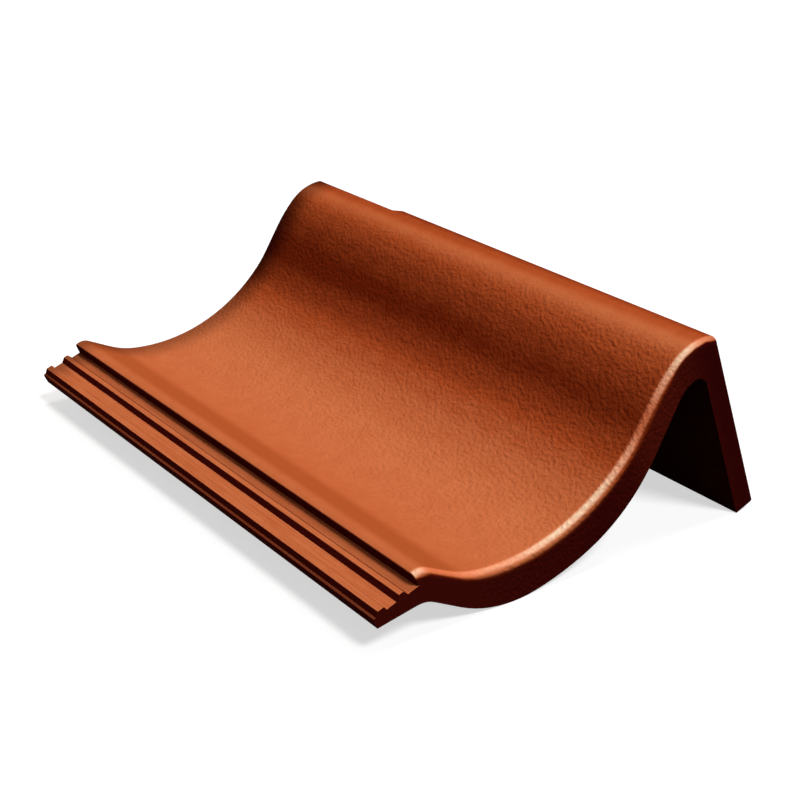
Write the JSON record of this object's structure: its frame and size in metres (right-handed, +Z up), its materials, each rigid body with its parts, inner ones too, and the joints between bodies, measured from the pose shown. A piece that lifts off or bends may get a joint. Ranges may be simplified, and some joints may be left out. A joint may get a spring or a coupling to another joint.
{
  "type": "verge tile",
  "caption": "Concrete verge tile with a deep curved pan, a roll with a flap that closes the gable edge, a ribbed side lock, a rounded eave nose and a hanging nib.",
  "frame": {"origin": "middle of the footprint at floor level, as the tile lies on its pan and flap", "axes": "+Y from the eave end to the head end, +Z up from the floor, +X towards the flap"},
  "size_m": [0.2984, 0.42, 0.1284],
  "materials": {
    "concrete": "brick-red through-coloured concrete, matt, finely grained"
  },
  "bodies": {
    "root": {"verge_tile": "concrete"}
  },
  "joints": []
}
